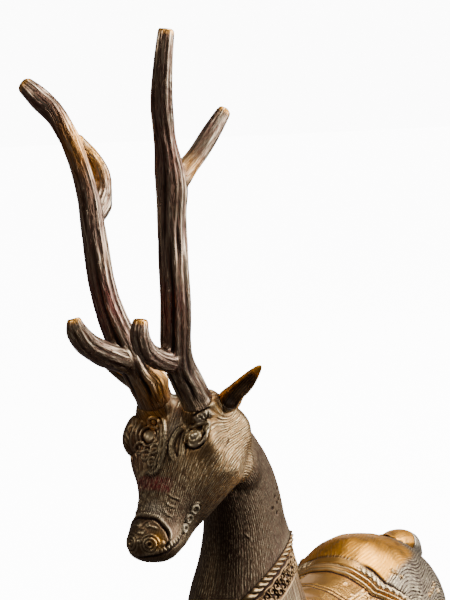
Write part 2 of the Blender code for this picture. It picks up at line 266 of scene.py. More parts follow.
def vertices(mesh):
    flat = np.empty(len(mesh.vertices) * 3, np.float32)
    mesh.vertices.foreach_get("co", flat)
    return own(flat.reshape(-1, 3).astype(np.float64))


def normals(mesh):
    flat = np.empty(len(mesh.vertices) * 3, np.float32)
    mesh.vertex_normals.foreach_get("vector", flat)
    return flat.reshape(-1, 3).astype(np.float64)


# ---------------- lines to follow

def smooth_path(points, steps=6):
    """Points along a Catmull-Rom curve through the given ones, however many numbers each has."""
    points = np.asarray(points, float)
    ends = [2 * points[0] - points[1], *points, 2 * points[-1] - points[-2]]
    made = []
    for a, b, c, d in zip(ends, ends[1:], ends[2:], ends[3:]):
        for t in np.arange(steps) / steps:
            bend = (2 * a - 5 * b + 4 * c - d) * t**2
            twist = (3 * b - a - 3 * c + d) * t**3
            made.append(0.5 * (2 * b + (c - a) * t + bend + twist))
    made.append(points[-1])
    return np.array(made)


def along(points, path, reference=None):
    """For each point its length along the path, its distance from it, and the path's length.

    With a reference way: its length along, its offset across reference and parallel to it, and its distance.
    """
    starts, ways = path[:-1], np.diff(path, axis=0)
    lengths = np.linalg.norm(ways, axis=1)
    travelled = np.concatenate([[0], np.cumsum(lengths)])
    best = np.full(len(points), np.inf)
    run = np.zeros(len(points))
    offset = np.zeros((len(points), 3))
    tangent = np.zeros((len(points), 3))
    for start, way, length, before in zip(starts, ways, lengths, travelled):
        t = np.clip((points - start) @ way / length**2, 0, 1)
        away = points - (start + t[:, None] * way)
        distance = np.einsum("ij,ij->i", away, away)
        nearer = distance < best
        best[nearer] = distance[nearer]
        run[nearer] = before + t[nearer] * length
        offset[nearer] = away[nearer]
        tangent[nearer] = way / length
    if reference is None:
        return run, np.sqrt(best), travelled[-1]
    side = np.cross(tangent, reference)
    side /= np.linalg.norm(side, axis=1, keepdims=True)
    front = np.cross(side, tangent)
    return run, np.einsum("ij,ij->i", offset, side), np.einsum("ij,ij->i", offset, front), np.sqrt(best)


def on_head(sideways, along_muzzle, out_of_face):
    place = SKULL + along_muzzle * MUZZLE_WAY + out_of_face * FACE_WAY
    return (float(sideways), float(place[1]), float(place[2]))


# ---------------- chasing

class Chasing:
    """The chased surface of one casting: relief in millimetres, and tones for the patina and for painted
    shade.
    """

    # The dark tone is painted shade: it darkens the colour where shade falls.
    TONES = ("gold", "red", "pale", "tan", "stipple", "dark")
    WORN_HEIGHT = 0.9  # relief this high is rubbed right through to the metal

    def __init__(self, obj):
        self.obj = obj
        self.points = vertices(obj.data)
        self.refresh()
        self.height = np.zeros(len(self.points))
        self.tones = {tone: np.zeros(len(self.points)) for tone in self.TONES}
        self.flow = np.zeros((len(self.points), 3))

    def refresh(self):
        """Stores the shape so far in the mesh, for its normals."""
        self.obj.data.vertices.foreach_set("co", world(self.points).astype(np.float32).ravel())
        self.obj.data.update()
        self.outward = normals(self.obj.data)

    def folded(self, on):
        """The points as seen from the side that a feature is described on."""
        if on == "left":
            return self.points
        mirror = self.points[:, 0] < 0 if on == "both" else np.full(len(self.points), True)
        signs = np.where(mirror, -1, 1)
        return self.points * np.stack([signs, np.ones(len(signs)), np.ones(len(signs))], 1)

    def swell(self, centre, radius, amount, on="both"):
        """Moves the surface softly out, or with a negative amount in."""
        away = np.linalg.norm(self.folded(on) - np.array(centre), axis=1)
        self.points += self.outward * (amount * np.exp(-((away / radius) ** 2)))[:, None]

    def shape(self, *swells):
        """Each of swells is a centre, a radius, a distance out and the side, if it isn't both."""
        for swell in swells:
            self.swell(*swell)
        self.refresh()

    def tint(self, tone, values, index=slice(None)):
        """Raises a tone to at least these values."""
        self.tones[tone][index] = np.maximum(self.tones[tone][index], values)

    def paint(self, tone, centre, radius, amount=1.0, on="both"):
        """A soft-edged patch of a tone; radius is one length, or one along each axis."""
        away = np.linalg.norm((self.folded(on) - np.array(centre)) / np.array(radius), axis=1)
        self.tint(tone, amount * np.exp(-(away**2)))

    def near(self, on, path, reach):
        """The points in the box round a path, as indices and as places."""
        places = self.folded(on)
        inside = ((places > path.min(axis=0) - reach) & (places < path.max(axis=0) + reach)).all(axis=1)
        return np.nonzero(inside)[0], places[inside]

    def seated(self, path, on):
        """The path drawn onto the surface."""
        places = self.folded(on)
        seats = []
        for spot in path:
            close = places[(np.abs(places - spot) < 9).all(axis=1)]
            seats.append(close[np.linalg.norm(close - spot, axis=1).argmin()] if len(close) else spot)
        seats = np.array(seats)
        if len(seats) > 3:
            seats[1:-1] = (seats[:-2] + 2 * seats[1:-1] + seats[2:]) / 4
        return seats

    def ridge(
        self, path, half_width, height, on="both",
        taper=2.5, crease=0.0, ribs=0.0, pitch=1.7, moat=0.35, tone=None,
    ):
        """A raised line, or with a negative height a cut one; tone is a tone's name and amount."""
        path = self.seated(smooth_path(path), on)
        index, places = self.near(on, path, 2.2 * half_width)
        run, distance, total = along(places, path)
        across = distance / half_width
        profile = arch(across) ** 0.75
        ends = ease(np.minimum(run, total - run), -0.3, taper) if taper else 1.0
        if crease:
            profile -= crease * arch(across, 0, 0.35)
        if ribs:
            profile *= 1 - ribs * (0.5 - 0.5 * np.cos(2 * math.pi * run / pitch))
        rise = height * profile * ends
        if moat and height > 0:
            rise -= moat * height * arch(across, 1.35, 0.45) * ends
        self.height[index] += rise
        if tone:
            self.tint(tone[0], tone[1] * np.clip(1.3 - across**2, 0, 1) * ends, index)

    def boss(self, centre, radius, height, on="both", tone=None, moat=0.3):
        """A round bead, or with a negative height a pit."""
        centre = self.seated(np.array([centre], float), on)
        index, places = self.near(on, centre, 2 * radius)
        across = np.linalg.norm(places - centre, axis=1) / radius
        rise = height * np.sqrt(arch(across))
        rise -= moat * abs(height) * arch(across, 1.2, 0.3)
        self.height[index] += rise
        if tone:
            self.tint(tone[0], tone[1] * np.clip(1.4 - across**2, 0, 1), index)

    def ring(self, centre, radius, half_width, height, on="both", moat=0.4, tone=None):
        """A raised circle."""
        centre = self.seated(np.array([centre], float), on)
        index, places = self.near(on, centre, radius + 2.5 * half_width)
        across = (np.linalg.norm(places - centre, axis=1) - radius) / half_width
        rise = height * arch(across) ** 0.75
        rise -= moat * height * arch(np.abs(across), 1.35, 0.45)
        self.height[index] += rise
        if tone:
            self.tint(tone[0], tone[1] * np.clip(1.3 - across**2, 0, 1), index)

    def finish(self, body, nodes, slot, material, worn=None):
        """Raises the relief, stores what the material reads, and ties the skin to its body."""
        self.points += self.outward * self.height[:, None]
        self.refresh()
        if worn is None:
            worn = np.clip(self.height / self.WORN_HEIGHT, -1, 1)
        tones = self.tones
        self.keep("flow", self.flow)
        self.keep("tone", np.stack([tones["gold"], worn, tones["red"]], 1))
        self.keep("cloth", np.stack([tones["pale"], tones["tan"], tones["stipple"]], 1))
        # The dark tone, painted shade, is stored for the material.
        self.keep("painted_shade", np.stack([tones["dark"], tones["dark"], tones["dark"]], 1))
        self.obj.data.materials.append(material)
        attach(self.obj, body)
        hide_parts(*nodes)
        return self.obj

    def keep(self, name, values):
        """Stores three numbers for each vertex."""
        attribute = self.obj.data.attributes.new(name, "FLOAT_VECTOR", "POINT")
        attribute.data.foreach_set("vector", np.asarray(values, np.float32).ravel())


# ---------------- bronze

def node(tree, kind, inputs=(), **settings):
    """A shader node with its settings, each input a socket or a constant."""
    made = tree.nodes.new("ShaderNode" + kind)
    for name, value in settings.items():
        setattr(made, name, value)
    for key, value in dict(inputs).items():
        if isinstance(value, bpy.types.NodeSocket):
            tree.links.new(value, made.inputs[key])
        else:
            made.inputs[key].default_value = value
    return made


def maths(tree, operation, *values, clamp=False):
    return node(tree, "Math", enumerate(values), operation=operation, use_clamp=clamp).outputs[0]


def times(tree, first, second, clamp=False):
    return maths(tree, "MULTIPLY", first, second, clamp=clamp)


def scaled(tree, value, factor, shift, clamp=False):
    return maths(tree, "MULTIPLY_ADD", value, factor, shift, clamp=clamp)


def blend_colour(tree, share, low, high):
    made = node(tree, "Mix", data_type="RGBA")
    for socket, value in ((made.inputs[0], share), (made.inputs[6], low), (made.inputs[7], high)):
        if isinstance(value, bpy.types.NodeSocket):
            tree.links.new(value, socket)
        else:
            socket.default_value = value if isinstance(value, float) else (*value, 1)
    return made.outputs[2]


def noise(tree, vector, scale, detail=2.0, roughness=0.5):
    inputs = {"Vector": vector, "Scale": scale, "Detail": detail, "Roughness": roughness}
    return node(tree, "TexNoise", inputs).outputs["Fac"]


def new_metal(name):
    material = bpy.data.materials.new(name)
    material.use_nodes = True
    shader = material.node_tree.nodes["Principled BSDF"]
    shader.inputs["Metallic"].default_value = 1.0
    return material, material.node_tree, shader


def bronze(name, limb=False):
    """Patinated bronze, its tones and chased lines read from the mesh's attributes.

    flow holds, in millimetres, the way across and along the hair lines, and their strength;
    on a limb it holds the offset from the middle line and the length along it.
    The dark tone arrives as painted shade, which darkens the colour where shade falls.
    """
    material, tree, shader = new_metal(name)
    vector = {}
    for attribute in ("flow", "tone", "cloth", "painted_shade"):
        vector[attribute] = node(tree, "Attribute", attribute_name=attribute).outputs["Vector"]
    across, length, strength = node(tree, "SeparateXYZ", {0: vector["flow"]}).outputs
    gold, relief, red = node(tree, "SeparateXYZ", {0: vector["tone"]}).outputs
    pale, tan, stipple = node(tree, "SeparateXYZ", {0: vector["cloth"]}).outputs
    painted_shade_amount = node(tree, "SeparateXYZ", {0: vector["painted_shade"]}).outputs[0]
    place = node(tree, "TexCoord").outputs["Object"]
    blotch = noise(tree, place, 45.0, 5.0, 0.6)
    patch = noise(tree, place, 150.0, 3.0, 0.55)
    pits = noise(tree, place, 900.0, 2.0)

    if limb:
        drawn_out = {0: vector["flow"], 1: (1.0, 1.0, 0.045)}
        stretched = node(tree, "VectorMath", drawn_out, operation="MULTIPLY").outputs[0]
        wide = noise(tree, stretched, 0.6, 2.0, 0.5)
        fine = noise(tree, stretched, 2.2, 2.0, 0.6)
        lit = scaled(tree, wide, 5.0, -1.9, clamp=True)
        ridge = times(tree, scaled(tree, fine, 7.0, -3.4, clamp=True), scaled(tree, lit, 0.8, 0.2))
        groove = scaled(tree, fine, -9.0, 4.0, clamp=True)
        depth = 0.3
    else:
        wander = noise(tree, place, 75.0, 3.0)
        astray = times(tree, wander, 10.0)
        turn = scaled(tree, across, 2 * math.pi / HAIR_PITCH, astray)
        wave = scaled(tree, maths(tree, "SINE", turn), 0.5, 0.5)
        drawn = node(tree, "CombineXYZ", {0: across, 1: times(tree, length, 0.12)}).outputs[0]
        strokes = scaled(tree, noise(tree, drawn, 1.3, 2.0, 0.6), 4.2, -1.6, clamp=True)
        short = node(tree, "CombineXYZ", {0: across, 1: times(tree, length, 0.26)}).outputs[0]
        ticks = scaled(tree, noise(tree, short, 1.15, 2.0, 0.7), 6.0, -2.6, clamp=True)
        cut = maths(tree, "POWER", maths(tree, "SUBTRACT", 1.0, wave), 0.7)
        groove = times(tree, times(tree, cut, strength), scaled(tree, strokes, 0.8, 0.35, clamp=True))
        nicks = times(tree, maths(tree, "SUBTRACT", 1.0, ticks), strength)
        groove = maths(tree, "MAXIMUM", groove, times(tree, nicks, 0.5))
        depth = 0.32

    dots = node(tree, "TexVoronoi", {"Vector": place, "Scale": 750.0, "Randomness": 0.8}).outputs["Distance"]
    pricked = times(tree, scaled(tree, dots, -2.6, 1.45, clamp=True), stipple)

    deep = (0.17, 0.085, 0.063) if limb else (0.085, 0.046, 0.028)
    mid = (0.24, 0.165, 0.098) if limb else (0.21, 0.14, 0.072)
    rubbed = (0.76, 0.69, 0.50) if limb else (0.72, 0.61, 0.38)
    body = blend_colour(tree, scaled(tree, blotch, 2.4, -0.75, clamp=True), deep, mid)
    body = blend_colour(tree, tan, body, (0.60, 0.35, 0.12))
    speckle = scaled(tree, patch, 1.2, 0.3, clamp=True)
    silver = times(tree, speckle, scaled(tree, blotch, 2.2, -0.3, clamp=True))
    body = blend_colour(tree, times(tree, pale, silver), body, (0.70, 0.63, 0.50))
    stain = scaled(tree, patch, 1.8, 0.15, clamp=True)
    body = blend_colour(tree, times(tree, red, stain), body, (0.20, 0.03, 0.03))
    rub = times(tree, gold, scaled(tree, patch, 1.6, 0.15, clamp=True))
    body = blend_colour(tree, rub, body, (0.93, 0.41, 0.035))
    if limb:
        worn = times(tree, ridge, 0.5)
    else:
        crest = times(tree, times(tree, wave, strength), ticks)
        worn = times(tree, crest, 0.58)
    raised = times(tree, relief, 0.55, clamp=True)
    body = blend_colour(tree, maths(tree, "MAXIMUM", raised, worn), body, rubbed)
    sunk = times(tree, relief, -2.2, clamp=True)
    dark = maths(tree, "MAXIMUM", sunk, times(tree, groove, 0.75 if limb else 0.85))
    dark = maths(tree, "MAXIMUM", dark, times(tree, pricked, 0.7))
    # Painted shade from the mesh darkens the colour too.
    dark = maths(tree, "MAXIMUM", dark, painted_shade_amount)
    body = blend_colour(tree, dark, body, (0.034, 0.020, 0.016))
    tree.links.new(body, shader.inputs["Base Color"])
    gloss = scaled(tree, patch, 0.22, 0.2 if limb else 0.25)
    tree.links.new(scaled(tree, dark, 0.28, gloss), shader.inputs["Roughness"])
    height = scaled(tree, groove, -depth, times(tree, pits, 0.05))
    height = scaled(tree, pricked, -0.18, height)
    bump = node(tree, "Bump", {"Height": height, "Distance": MM, "Strength": 1.0})
    tree.links.new(bump.outputs["Normal"], shader.inputs["Normal"])
    return material


# ---------------- head and neck

EYE = (13.9, -112.3, 195.2)
NOSTRIL = (4.9, -143.5, 149.0)


def shape_head(skin):
    """Fills out brows, cheeks and nape, and trims jaw and throat."""
    skin.shape(
        (on_head(25, 4, 8), 13, 2.2, "right"), (on_head(24, 15, 4), 12, 2.8, "right"),
        ((23, -99, 196.5), 10, -2.6, "left"), ((16, -95, 207), 6, 3.4), ((16, -121, 154), 8, -1.5),
        ((-6, -141, 145), 10, 0.9, "left"), ((8, -72, 195), 11, 1.5), ((0, -30, 165), 26, 0.9),
        ((12, -38, 150), 22, 1.0), ((8, -128, 146), 7, -1.3), ((12, -111, 148), 7, -2.6),
        ((11.5, -121, 142), 8, -1.7), ((-22.5, -110.5, 203), 5, 2.2, "left"),
        ((17, -67, 189), 10, 1.6, "left"), ((18, -97, 213), 6, 1.3), ((22, -79, 196), 9, 1.8, "left"),
        ((-4, -139, 141), 9, 1.2, "left"), ((0, -78, 110), 16, -1.4),
    )


def chase_eye(skin):
    """The deer's left eye: ball, rims, ribbed outer corner, brow, and two leaves along the nose."""
    skin.boss(EYE, 4.2, 2.0, "left", moat=0.5)
    skin.ring(EYE, 4.9, 0.8, 0.7, "left")
    skin.boss((14.6, -112.0, 195.9), 1.7, 0.9, "left", tone=("pale", 0.8))
    upper_rim = [(9.2, -112, 195.8), (10.6, -109.2, 198.6), (15.6, -110.2, 200.9), (21.2, -106.6, 203)]
    skin.ridge(upper_rim, 1.0, 1.1, "left")
    lower_rim = [
        (10.1, -113.5, 192.9), (13.6, -113.5, 190.7), (19.2, -114.7, 193.7), (21.8, -112.5, 198.3),
        (22, -106.5, 202),
    ]
    skin.ridge(lower_rim, 0.9, 1.0, "left", tone=("pale", 0.5))
    for lift in (0.0, 1.6, 3.2):
        rib = [
            (17.8, -111.6, 196.6 + 0.5 * lift), (19.6, -109.6, 198.6 + lift * 0.7),
            (21, -107.5, 201.2 + 0.3 * lift),
        ]
        skin.ridge(rib, 0.55, 0.7, "left", taper=1)
    brow = [(14, -110.8, 202.6), (19.2, -109.6, 205.8), (22.6, -105.6, 206)]
    skin.ridge(brow, 2.2, 1.3, "left", ribs=0.7, tone=("pale", 0.8))
    near_leaf = [(9.9, -109.3, 199.3), (8.4, -112.5, 195.4), (8.9, -116, 189.9), (9.5, -119.1, 184.3)]
    skin.ridge(near_leaf, 1.5, 1.2, "left", taper=6, crease=0.9)
    far_leaf = [
        (8.5, -108.5, 200.8), (4.2, -111.5, 197.3), (3.0, -115.1, 192.9), (4.2, -118.2, 188),
        (8.2, -120, 183.2),
    ]
    skin.ridge(far_leaf, 1.5, 1.2, "left", taper=6, crease=0.9)


def chase_far_brow(skin):
    """The deer's right eye, worked as scrolls inside a big looped border."""
    loop = [
        (6.8, -108.6, 203.4), (2.6, -113.5, 196), (0.4, -117.2, 190.5), (0, -121, 184.5),
        (2, -124.2, 179.3), (6.5, -123.4, 177),
    ]
    skin.ridge(loop, 1.1, 1.2, "right")
    skin.ridge([(x + 2.7, y + 0.6, z + 0.4) for x, y, z in loop], 0.9, 1.0, "right")
    skin.ring((11, -110.2, 200.8), 2.8, 0.9, 0.8, "right", tone=("gold", 0.6))
    skin.boss((11, -110.2, 200.8), 1.3, 0.5, "right", tone=("gold", 0.6))
    scrolls = (
        ((6.4, -117.4, 189.4), 2.4), ((6.2, -121.2, 183.4), 2.1), ((11, -118.2, 186), 2.6),
        ((16, -114.8, 188), 3),
    )
    for centre, radius in scrolls:
        skin.ring(centre, radius, 0.75, 0.9, "right")
        skin.boss(centre, 0.9, 0.6, "right")
    skin.boss((11.5, -113.6, 194.5), 3.6, 1.0, "right", moat=0.4)
    skin.ring((11.5, -113.6, 194.5), 4.9, 0.8, 0.9, "right")
    for reach in (0, 3.2, 6.4):
        furrow = [
            (17 + reach * 0.8, -111.5, 201 - reach * 0.3), (19 + reach * 0.7, -113, 194 - reach),
            (15 + reach, -116, 184 - reach * 0.5),
        ]
        skin.ridge(furrow, 0.9, 0.6, "right")


def chase_muzzle(skin):
    """Nose pad with its rim and nostrils, the mouth's beads and lip, and scrolls on the side."""
    rim = [
        (0, -138.1, 160.2), (5.6, -137.3, 159.4), (8.5, -137.1, 156.8), (10.9, -136.3, 153.3),
        (12, -137.2, 149.5), (10.8, -138.9, 146.4),
    ]
    skin.ridge(rim, 0.65, -0.9, taper=0)
    outer_rim = [(x * 1.1, y + 1.2, z + 1.5 - 0.08 * x) for x, y, z in rim]
    skin.ridge(outer_rim, 0.85, 0.5, taper=0, moat=0, tone=("pale", 0.2))
    skin.ring(NOSTRIL, 4.6, 0.6, 0.45)
    skin.ring(NOSTRIL, 3.0, 0.65, 0.65)
    skin.ring(NOSTRIL, 1.5, 0.5, 0.55)
    skin.boss(NOSTRIL, 0.8, -0.5)
    skin.ridge([(1.6, -142.5, 156.5), (4.5, -141, 157.6), (8, -139.2, 155.5)], 0.7, 0.5)
    for spot in ((2.4, -140.8, 158), (1.4, -143, 154.6), (9.4, -139.6, 149)):
        skin.boss(spot, 1.5, 0.4)
    skin.boss((0, -144.4, 150.5), 1.3, 0.8)
    beads = (((16.3, -119.1, 160.2), 2.3), ((15.4, -121.7, 156.2), 2.2), ((14.7, -124.4, 152.4), 2.0))
    crescent = ((0.5, 3.4, 2.6), (0, 1.2, 3.6), (-0.5, -1.4, 3.2))
    for centre, size in beads:
        skin.ring(centre, 0.9 * size, 0.8, 1.0, tone=("pale", 0.5))
        skin.boss(centre, 0.5 * size, 0.3)
        skin.ridge([tuple(np.array(centre) + step) for step in crescent], 0.6, 0.7, tone=("pale", 0.4))
    lip = [
        (14.5, -125.4, 150.5), (14, -129, 147.6), (13.2, -133.2, 145.6), (11, -137.9, 143.8),
        (6, -141.5, 142.6), (0, -142.5, 142.2),
    ]
    skin.ridge(lip, 0.8, -0.8, taper=1)
    skin.ridge([(x * 0.99, y - 0.6, z + 2.3) for x, y, z in lip], 1.3, 0.7, ribs=0.8, pitch=1.9, moat=0.1)
    for reach in (0, 3.6, 7.2):
        wrinkle = [
            (6.5, -128.4 - reach * 0.75, 171.5 - reach), (9.6, -128 - reach * 0.7, 168.8 - reach),
            (12.6, -125.5 - reach * 0.75, 167 - reach),
        ]
        skin.ridge(wrinkle, 0.7, 0.4)


def meet(skin, way):
    """Draws an edge out over the seam between neck and torso, to hide it: way is 1 up, -1 down."""
    skin.refresh()
    beyond = way * (SEAM_POINT - skin.points) @ SEAM_NORMAL
    edge = 1 - ease(beyond, 0.5, 9)
    aside = skin.points[:, :2] - NECK_ROOT
    distance = np.linalg.norm(aside, axis=1)
    edge = np.where(distance < SEAM_REACH, edge, 0)
    lift = way * SEAM_COVER * edge
    skin.points[:, 2] += lift
    skin.points[:, :2] -= aside * (0.33 * lift / np.maximum(distance, 1))[:, None]
    skin.height += (0.6 if way < 0 else 0.1) * edge


def make_neck_head(material):
    """Neck, skull and muzzle, with all that is chased on them."""
    soften = [((side * 21, -99, 193), 18, 0.0, 110) for side in (1, -1)]
    soften += [((side * 21, -72, 168), 15, 4.0, 20) for side in (1, -1)]
    soften += [((side * 28, -85, 179), 12, -2.0, 10) for side in (1, -1)]
    soften += [((side * 24, -80, 181), 29, 0.0, 340) for side in (1, -1)]
    skin = Chasing(casting("neck_head", 1.15, 10, soften=soften))
    shape_head(skin)
    chase_eye(skin)
    chase_far_brow(skin)
    chase_muzzle(skin)
    skin.ridge([(25.5, -95.9, 194.1), (26.8, -98.5, 190.5), (28, -103, 189)], 0.7, -0.4, "left")
    skin.ridge([(12.5, -71.5, 135), (14.2, -69.3, 132.5), (15, -69, 130.5)], 0.6, 0.4, "left")
    nape_pits = (
        (19, -53, 143.7), (17.8, -45.6, 146.8), (16.9, -45, 151.7), (18.5, -49.5, 140), (18.3, -48, 145.2),
        (19, -49, 149),
    )
    for spot in nape_pits:
        skin.boss(spot, 0.9, -0.9, "left", moat=0)

    points = skin.points
    sideways, muzzle, face = points[:, 0], (points - SKULL) @ MUZZLE_WAY, (points - SKULL) @ FACE_WAY
    run, side, front, _ = along(points, smooth_path(SPINE), np.array([1.0, 0, 0]))
    turn = np.arctan2(np.abs(sideways), -side)
    ear_root = np.linalg.norm(skin.folded("both") - np.array((20, -90, 204)), axis=1)
    across = turn * NECK_RADIUS + 6 * np.exp(-((ear_root / 12) ** 2))
    from_eyes = np.linalg.norm(skin.folded("both") - np.array(on_head(12, 4, 13)), axis=1)
    on_pad = ease(muzzle, 44, 47) * ease(face, 0, 5)
    worked = np.maximum(np.exp(-((from_eyes / 11) ** 4)), on_pad)
    skin.flow = np.stack([across, run, 0.95 * (1 - 0.8 * worked)], 1)

    on_bridge = np.exp(-(((muzzle - 28.3) / 3.7) ** 6)) * ease(face, 2, 6)
    on_bridge *= 1 - ease(sideways, 6.5, 9)
    skin.tones["red"] = on_bridge
    skin.height += 0.35 * on_bridge * (np.abs(np.cos(turn * NECK_RADIUS * math.pi / 2.3)) - 0.5)
    skin.paint("red", on_head(-18, 14, 6), (9, 8, 12), 0.55, "left")
    skin.tones["stipple"] = np.exp(-(((muzzle - 41) / 2.6) ** 4)) * ease(face, 3, 8)
    # Painted highlight: a pale patch on the strip above the nose pad.
    skin.paint("pale", on_head(3, 41, 13), (5, 2.4, 4), 0.5, "left")
    skin.paint("pale", on_head(0, -4, 14), (4, 5, 7), 0.6)
    skin.paint("gold", on_head(11, -12, 19), (6, 5, 4), 1.0, "left")
    skin.paint("gold", on_head(11, -7, 17), (6, 5, 5), 1.0, "right")
    skin.paint("gold", on_head(16, -14, 12), (6, 4, 5), 0.7, "left")
    skin.paint("gold", (8.2, -141.2, 150.5), (2.4, 3, 3.2), 1.0, "left")
    skin.paint("tan", (20, -92, 190), (16, 26, 26), 0.5)
    skin.paint("tan", on_head(18, 12, -4), (12, 16, 16), 0.4)
    # Painted shade: the throat, most at its front, and the underside of the jaw are darkened.
    round_neck = np.degrees(np.arctan2(np.abs(sideways), front))
    throat = (1 - ease(round_neck, 28, 100)) * ease(run, 0, 8)
    throat *= 1 - ease(run, 118, 130)
    under_jaw = ease(-face, 20, 30)
    skin.tones["dark"] = 0.8 * np.maximum(throat * ease(-face, 10, 24), 0.6 * under_jaw)
    # Painted shade: the muzzle's left side, a spot beside the nose pad and the right cheek below the eye are
    # darkened.
    skin.paint("dark", on_head(13, 34, 4), (10, 14, 14), 0.6, "left")
    skin.paint("dark", on_head(11.5, 44, 8), (5, 6, 5), 0.7, "left")
    skin.paint("dark", on_head(-16, 8, 4), (10, 14, 14), 0.35, "left")
    meet(skin, -1)
    return skin.finish("figure", ["neck_head"], "bronze", material)


# ---------------- collar

class Neck:
    """The neck's surface, to lay rings on."""

    RAY_START = 70  # from the middle line, well outside the neck
    MISSED = 45  # a ray's length where it meets nothing

    def __init__(self, objects):
        self.trees = []
        for obj in objects:
            shape = bmesh.new()
            shape.from_mesh(obj.data)
            self.trees.append(BVHTree.FromBMesh(shape))
            shape.free()

    def ring(self, middle, normal, turns, levels):
        """Surface points and outward ways for each turn and each level down from a tilted plane."""
        normal = np.array(normal) / np.linalg.norm(normal)
        ahead = np.cross(np.array([1.0, 0, 0]), normal)
        ahead /= np.linalg.norm(ahead)
        aside = np.cross(normal, ahead)
        points = np.zeros((len(turns), len(levels), 3))
        ways = np.zeros_like(points)
        for i, turn in enumerate(turns):
            way = math.cos(turn) * ahead + math.sin(turn) * aside
            for k, level in enumerate(levels):
                foot = np.array(middle) - normal * level
                start = world(foot + self.RAY_START * way)
                hits = [tree.ray_cast(Vector(start), Vector(-way)) for tree in self.trees]
                reach = min((hit[3] for hit in hits if hit[0] is not None), default=self.MISSED * MM)
                points[i, k] = foot + (self.RAY_START - reach / MM) * way
                ways[i, k] = way
        return points, ways


def loop_mesh(name, points):
    """A closed ring from a grid of points that wraps both ways."""
    rows, columns = points.shape[:2]
    index = np.arange(rows * columns).reshape(rows, columns)
    ahead, beside = np.roll(index, -1, axis=0), np.roll(index, -1, axis=1)
    faces = np.stack([index, beside, np.roll(ahead, -1, axis=1), ahead], -1).reshape(-1, 4)
    mesh = bpy.data.meshes.new(name)
    mesh.from_pydata(world(points.reshape(-1, 3)).tolist(), [], faces.tolist())
    mesh.shade_smooth()
    return add_object(name, mesh)


def scroll(u, v, cell, pitch):
    """Rows of spirals, each turning the other way from its neighbours; from -1 to 1."""
    column, row = np.floor(u / cell), np.floor(v / cell)
    du, dv = u - (column + 0.5) * cell, v - (row + 0.5) * cell
    hand = np.where((column + row) % 2 == 0, 1, -1)
    reach = np.hypot(du, dv)
    return np.cos(hand * np.arctan2(dv, du) + 2 * math.pi * reach / pitch)


def make_collar(neck_objects, material):
    """A twisted rope round the neck over a wide band of leaf scrolls, hanging askew."""
    neck = Neck(neck_objects)
    turns = np.arange(640) / 640 * 2 * math.pi
    levels = np.concatenate([np.arange(-2.4, 3.0, 0.3), np.arange(3.0, 15.6, 0.42)])
    coarse = np.linspace(levels[0], levels[-1], 9)
    points, ways = neck.ring((0, -54, 106.3), (-0.46, -0.449, 1), turns[::4], coarse)
    fine_turns = np.arange(len(turns)) / 4
    fine_levels = (levels - coarse[0]) / (coarse[1] - coarse[0])
    points, ways = (spread(spread(grid, fine_turns, 0, True), fine_levels, 1) for grid in (points, ways))
    turn, level = turns[:, None], levels[None, :]
    twists, radius = 22, 29
    girth = radius * turn
    dome = np.sqrt(arch(level, 0, 1.9))
    strand = np.abs(np.cos(twists * turn - 0.95 * level))
    rope = dome * (0.35 + 1.45 * strand**0.8)
    wavy = 0.9 * arch(level - 3.7 - 0.35 * np.cos(twists * turn), 0, 0.7)
    in_band = ease(level, 4.4, 5.0) * (1 - ease(level, 12.6, 13.0))
    leaves = (0.55 * np.tanh(1.8 * scroll(girth, level - 4.6, 4.15, 2.3)) + 0.35) * in_band
    edge = 1.1 * arch(level, 13.8, 0.9)
    relief = rope + wavy + leaves + edge
    lift = 0.35 + relief
    lift[:, 0] = lift[:, -1] = -0.9
    outer = points + ways * lift[..., None]
    inner = (points + ways * -1.6)[:, ::-1][:, 2:-2:8]
    grid = np.concatenate([outer, inner], axis=1)
    obj = loop_mesh("collar_rope_and_band", grid)
    skin = Chasing(obj)
    tone = np.full(grid.shape[:2], -1.0)
    tone[:, : len(levels)] = np.clip(relief * 0.75 - 0.55, -0.45, 0.4)
    skin.tones["tan"] = np.full(tone.size, 0.15)
    skin.finish("figure", ["neck_collar"], "polished_bronze", material, worn=tone.ravel())


def spread(grid, places, axis, wraps=False):
    """Rows of a grid at in-between places, along an axis that may wrap round."""
    low = np.floor(places).astype(int)
    share = (places - low).reshape([-1 if k == axis else 1 for k in range(grid.ndim)])
    mode = "wrap" if wraps else "clip"
    lower = np.take(grid, low, axis, mode=mode)
    upper = np.take(grid, low + 1, axis, mode=mode)
    return lower * (1 - share) + upper * share


# ---------------- body

def girdle(skin, place, at, half_width, height, tone=None):
    """A raised or cut line right round the body."""
    across = (place - at) / half_width
    skin.height += height * arch(across) ** 0.75
    if height > 0:
        skin.height -= 0.5 * height * arch(np.abs(across), 1.4, 0.45)
    if tone:
        skin.tint(tone[0], tone[1] * np.clip(1.2 - across**2, 0, 1))


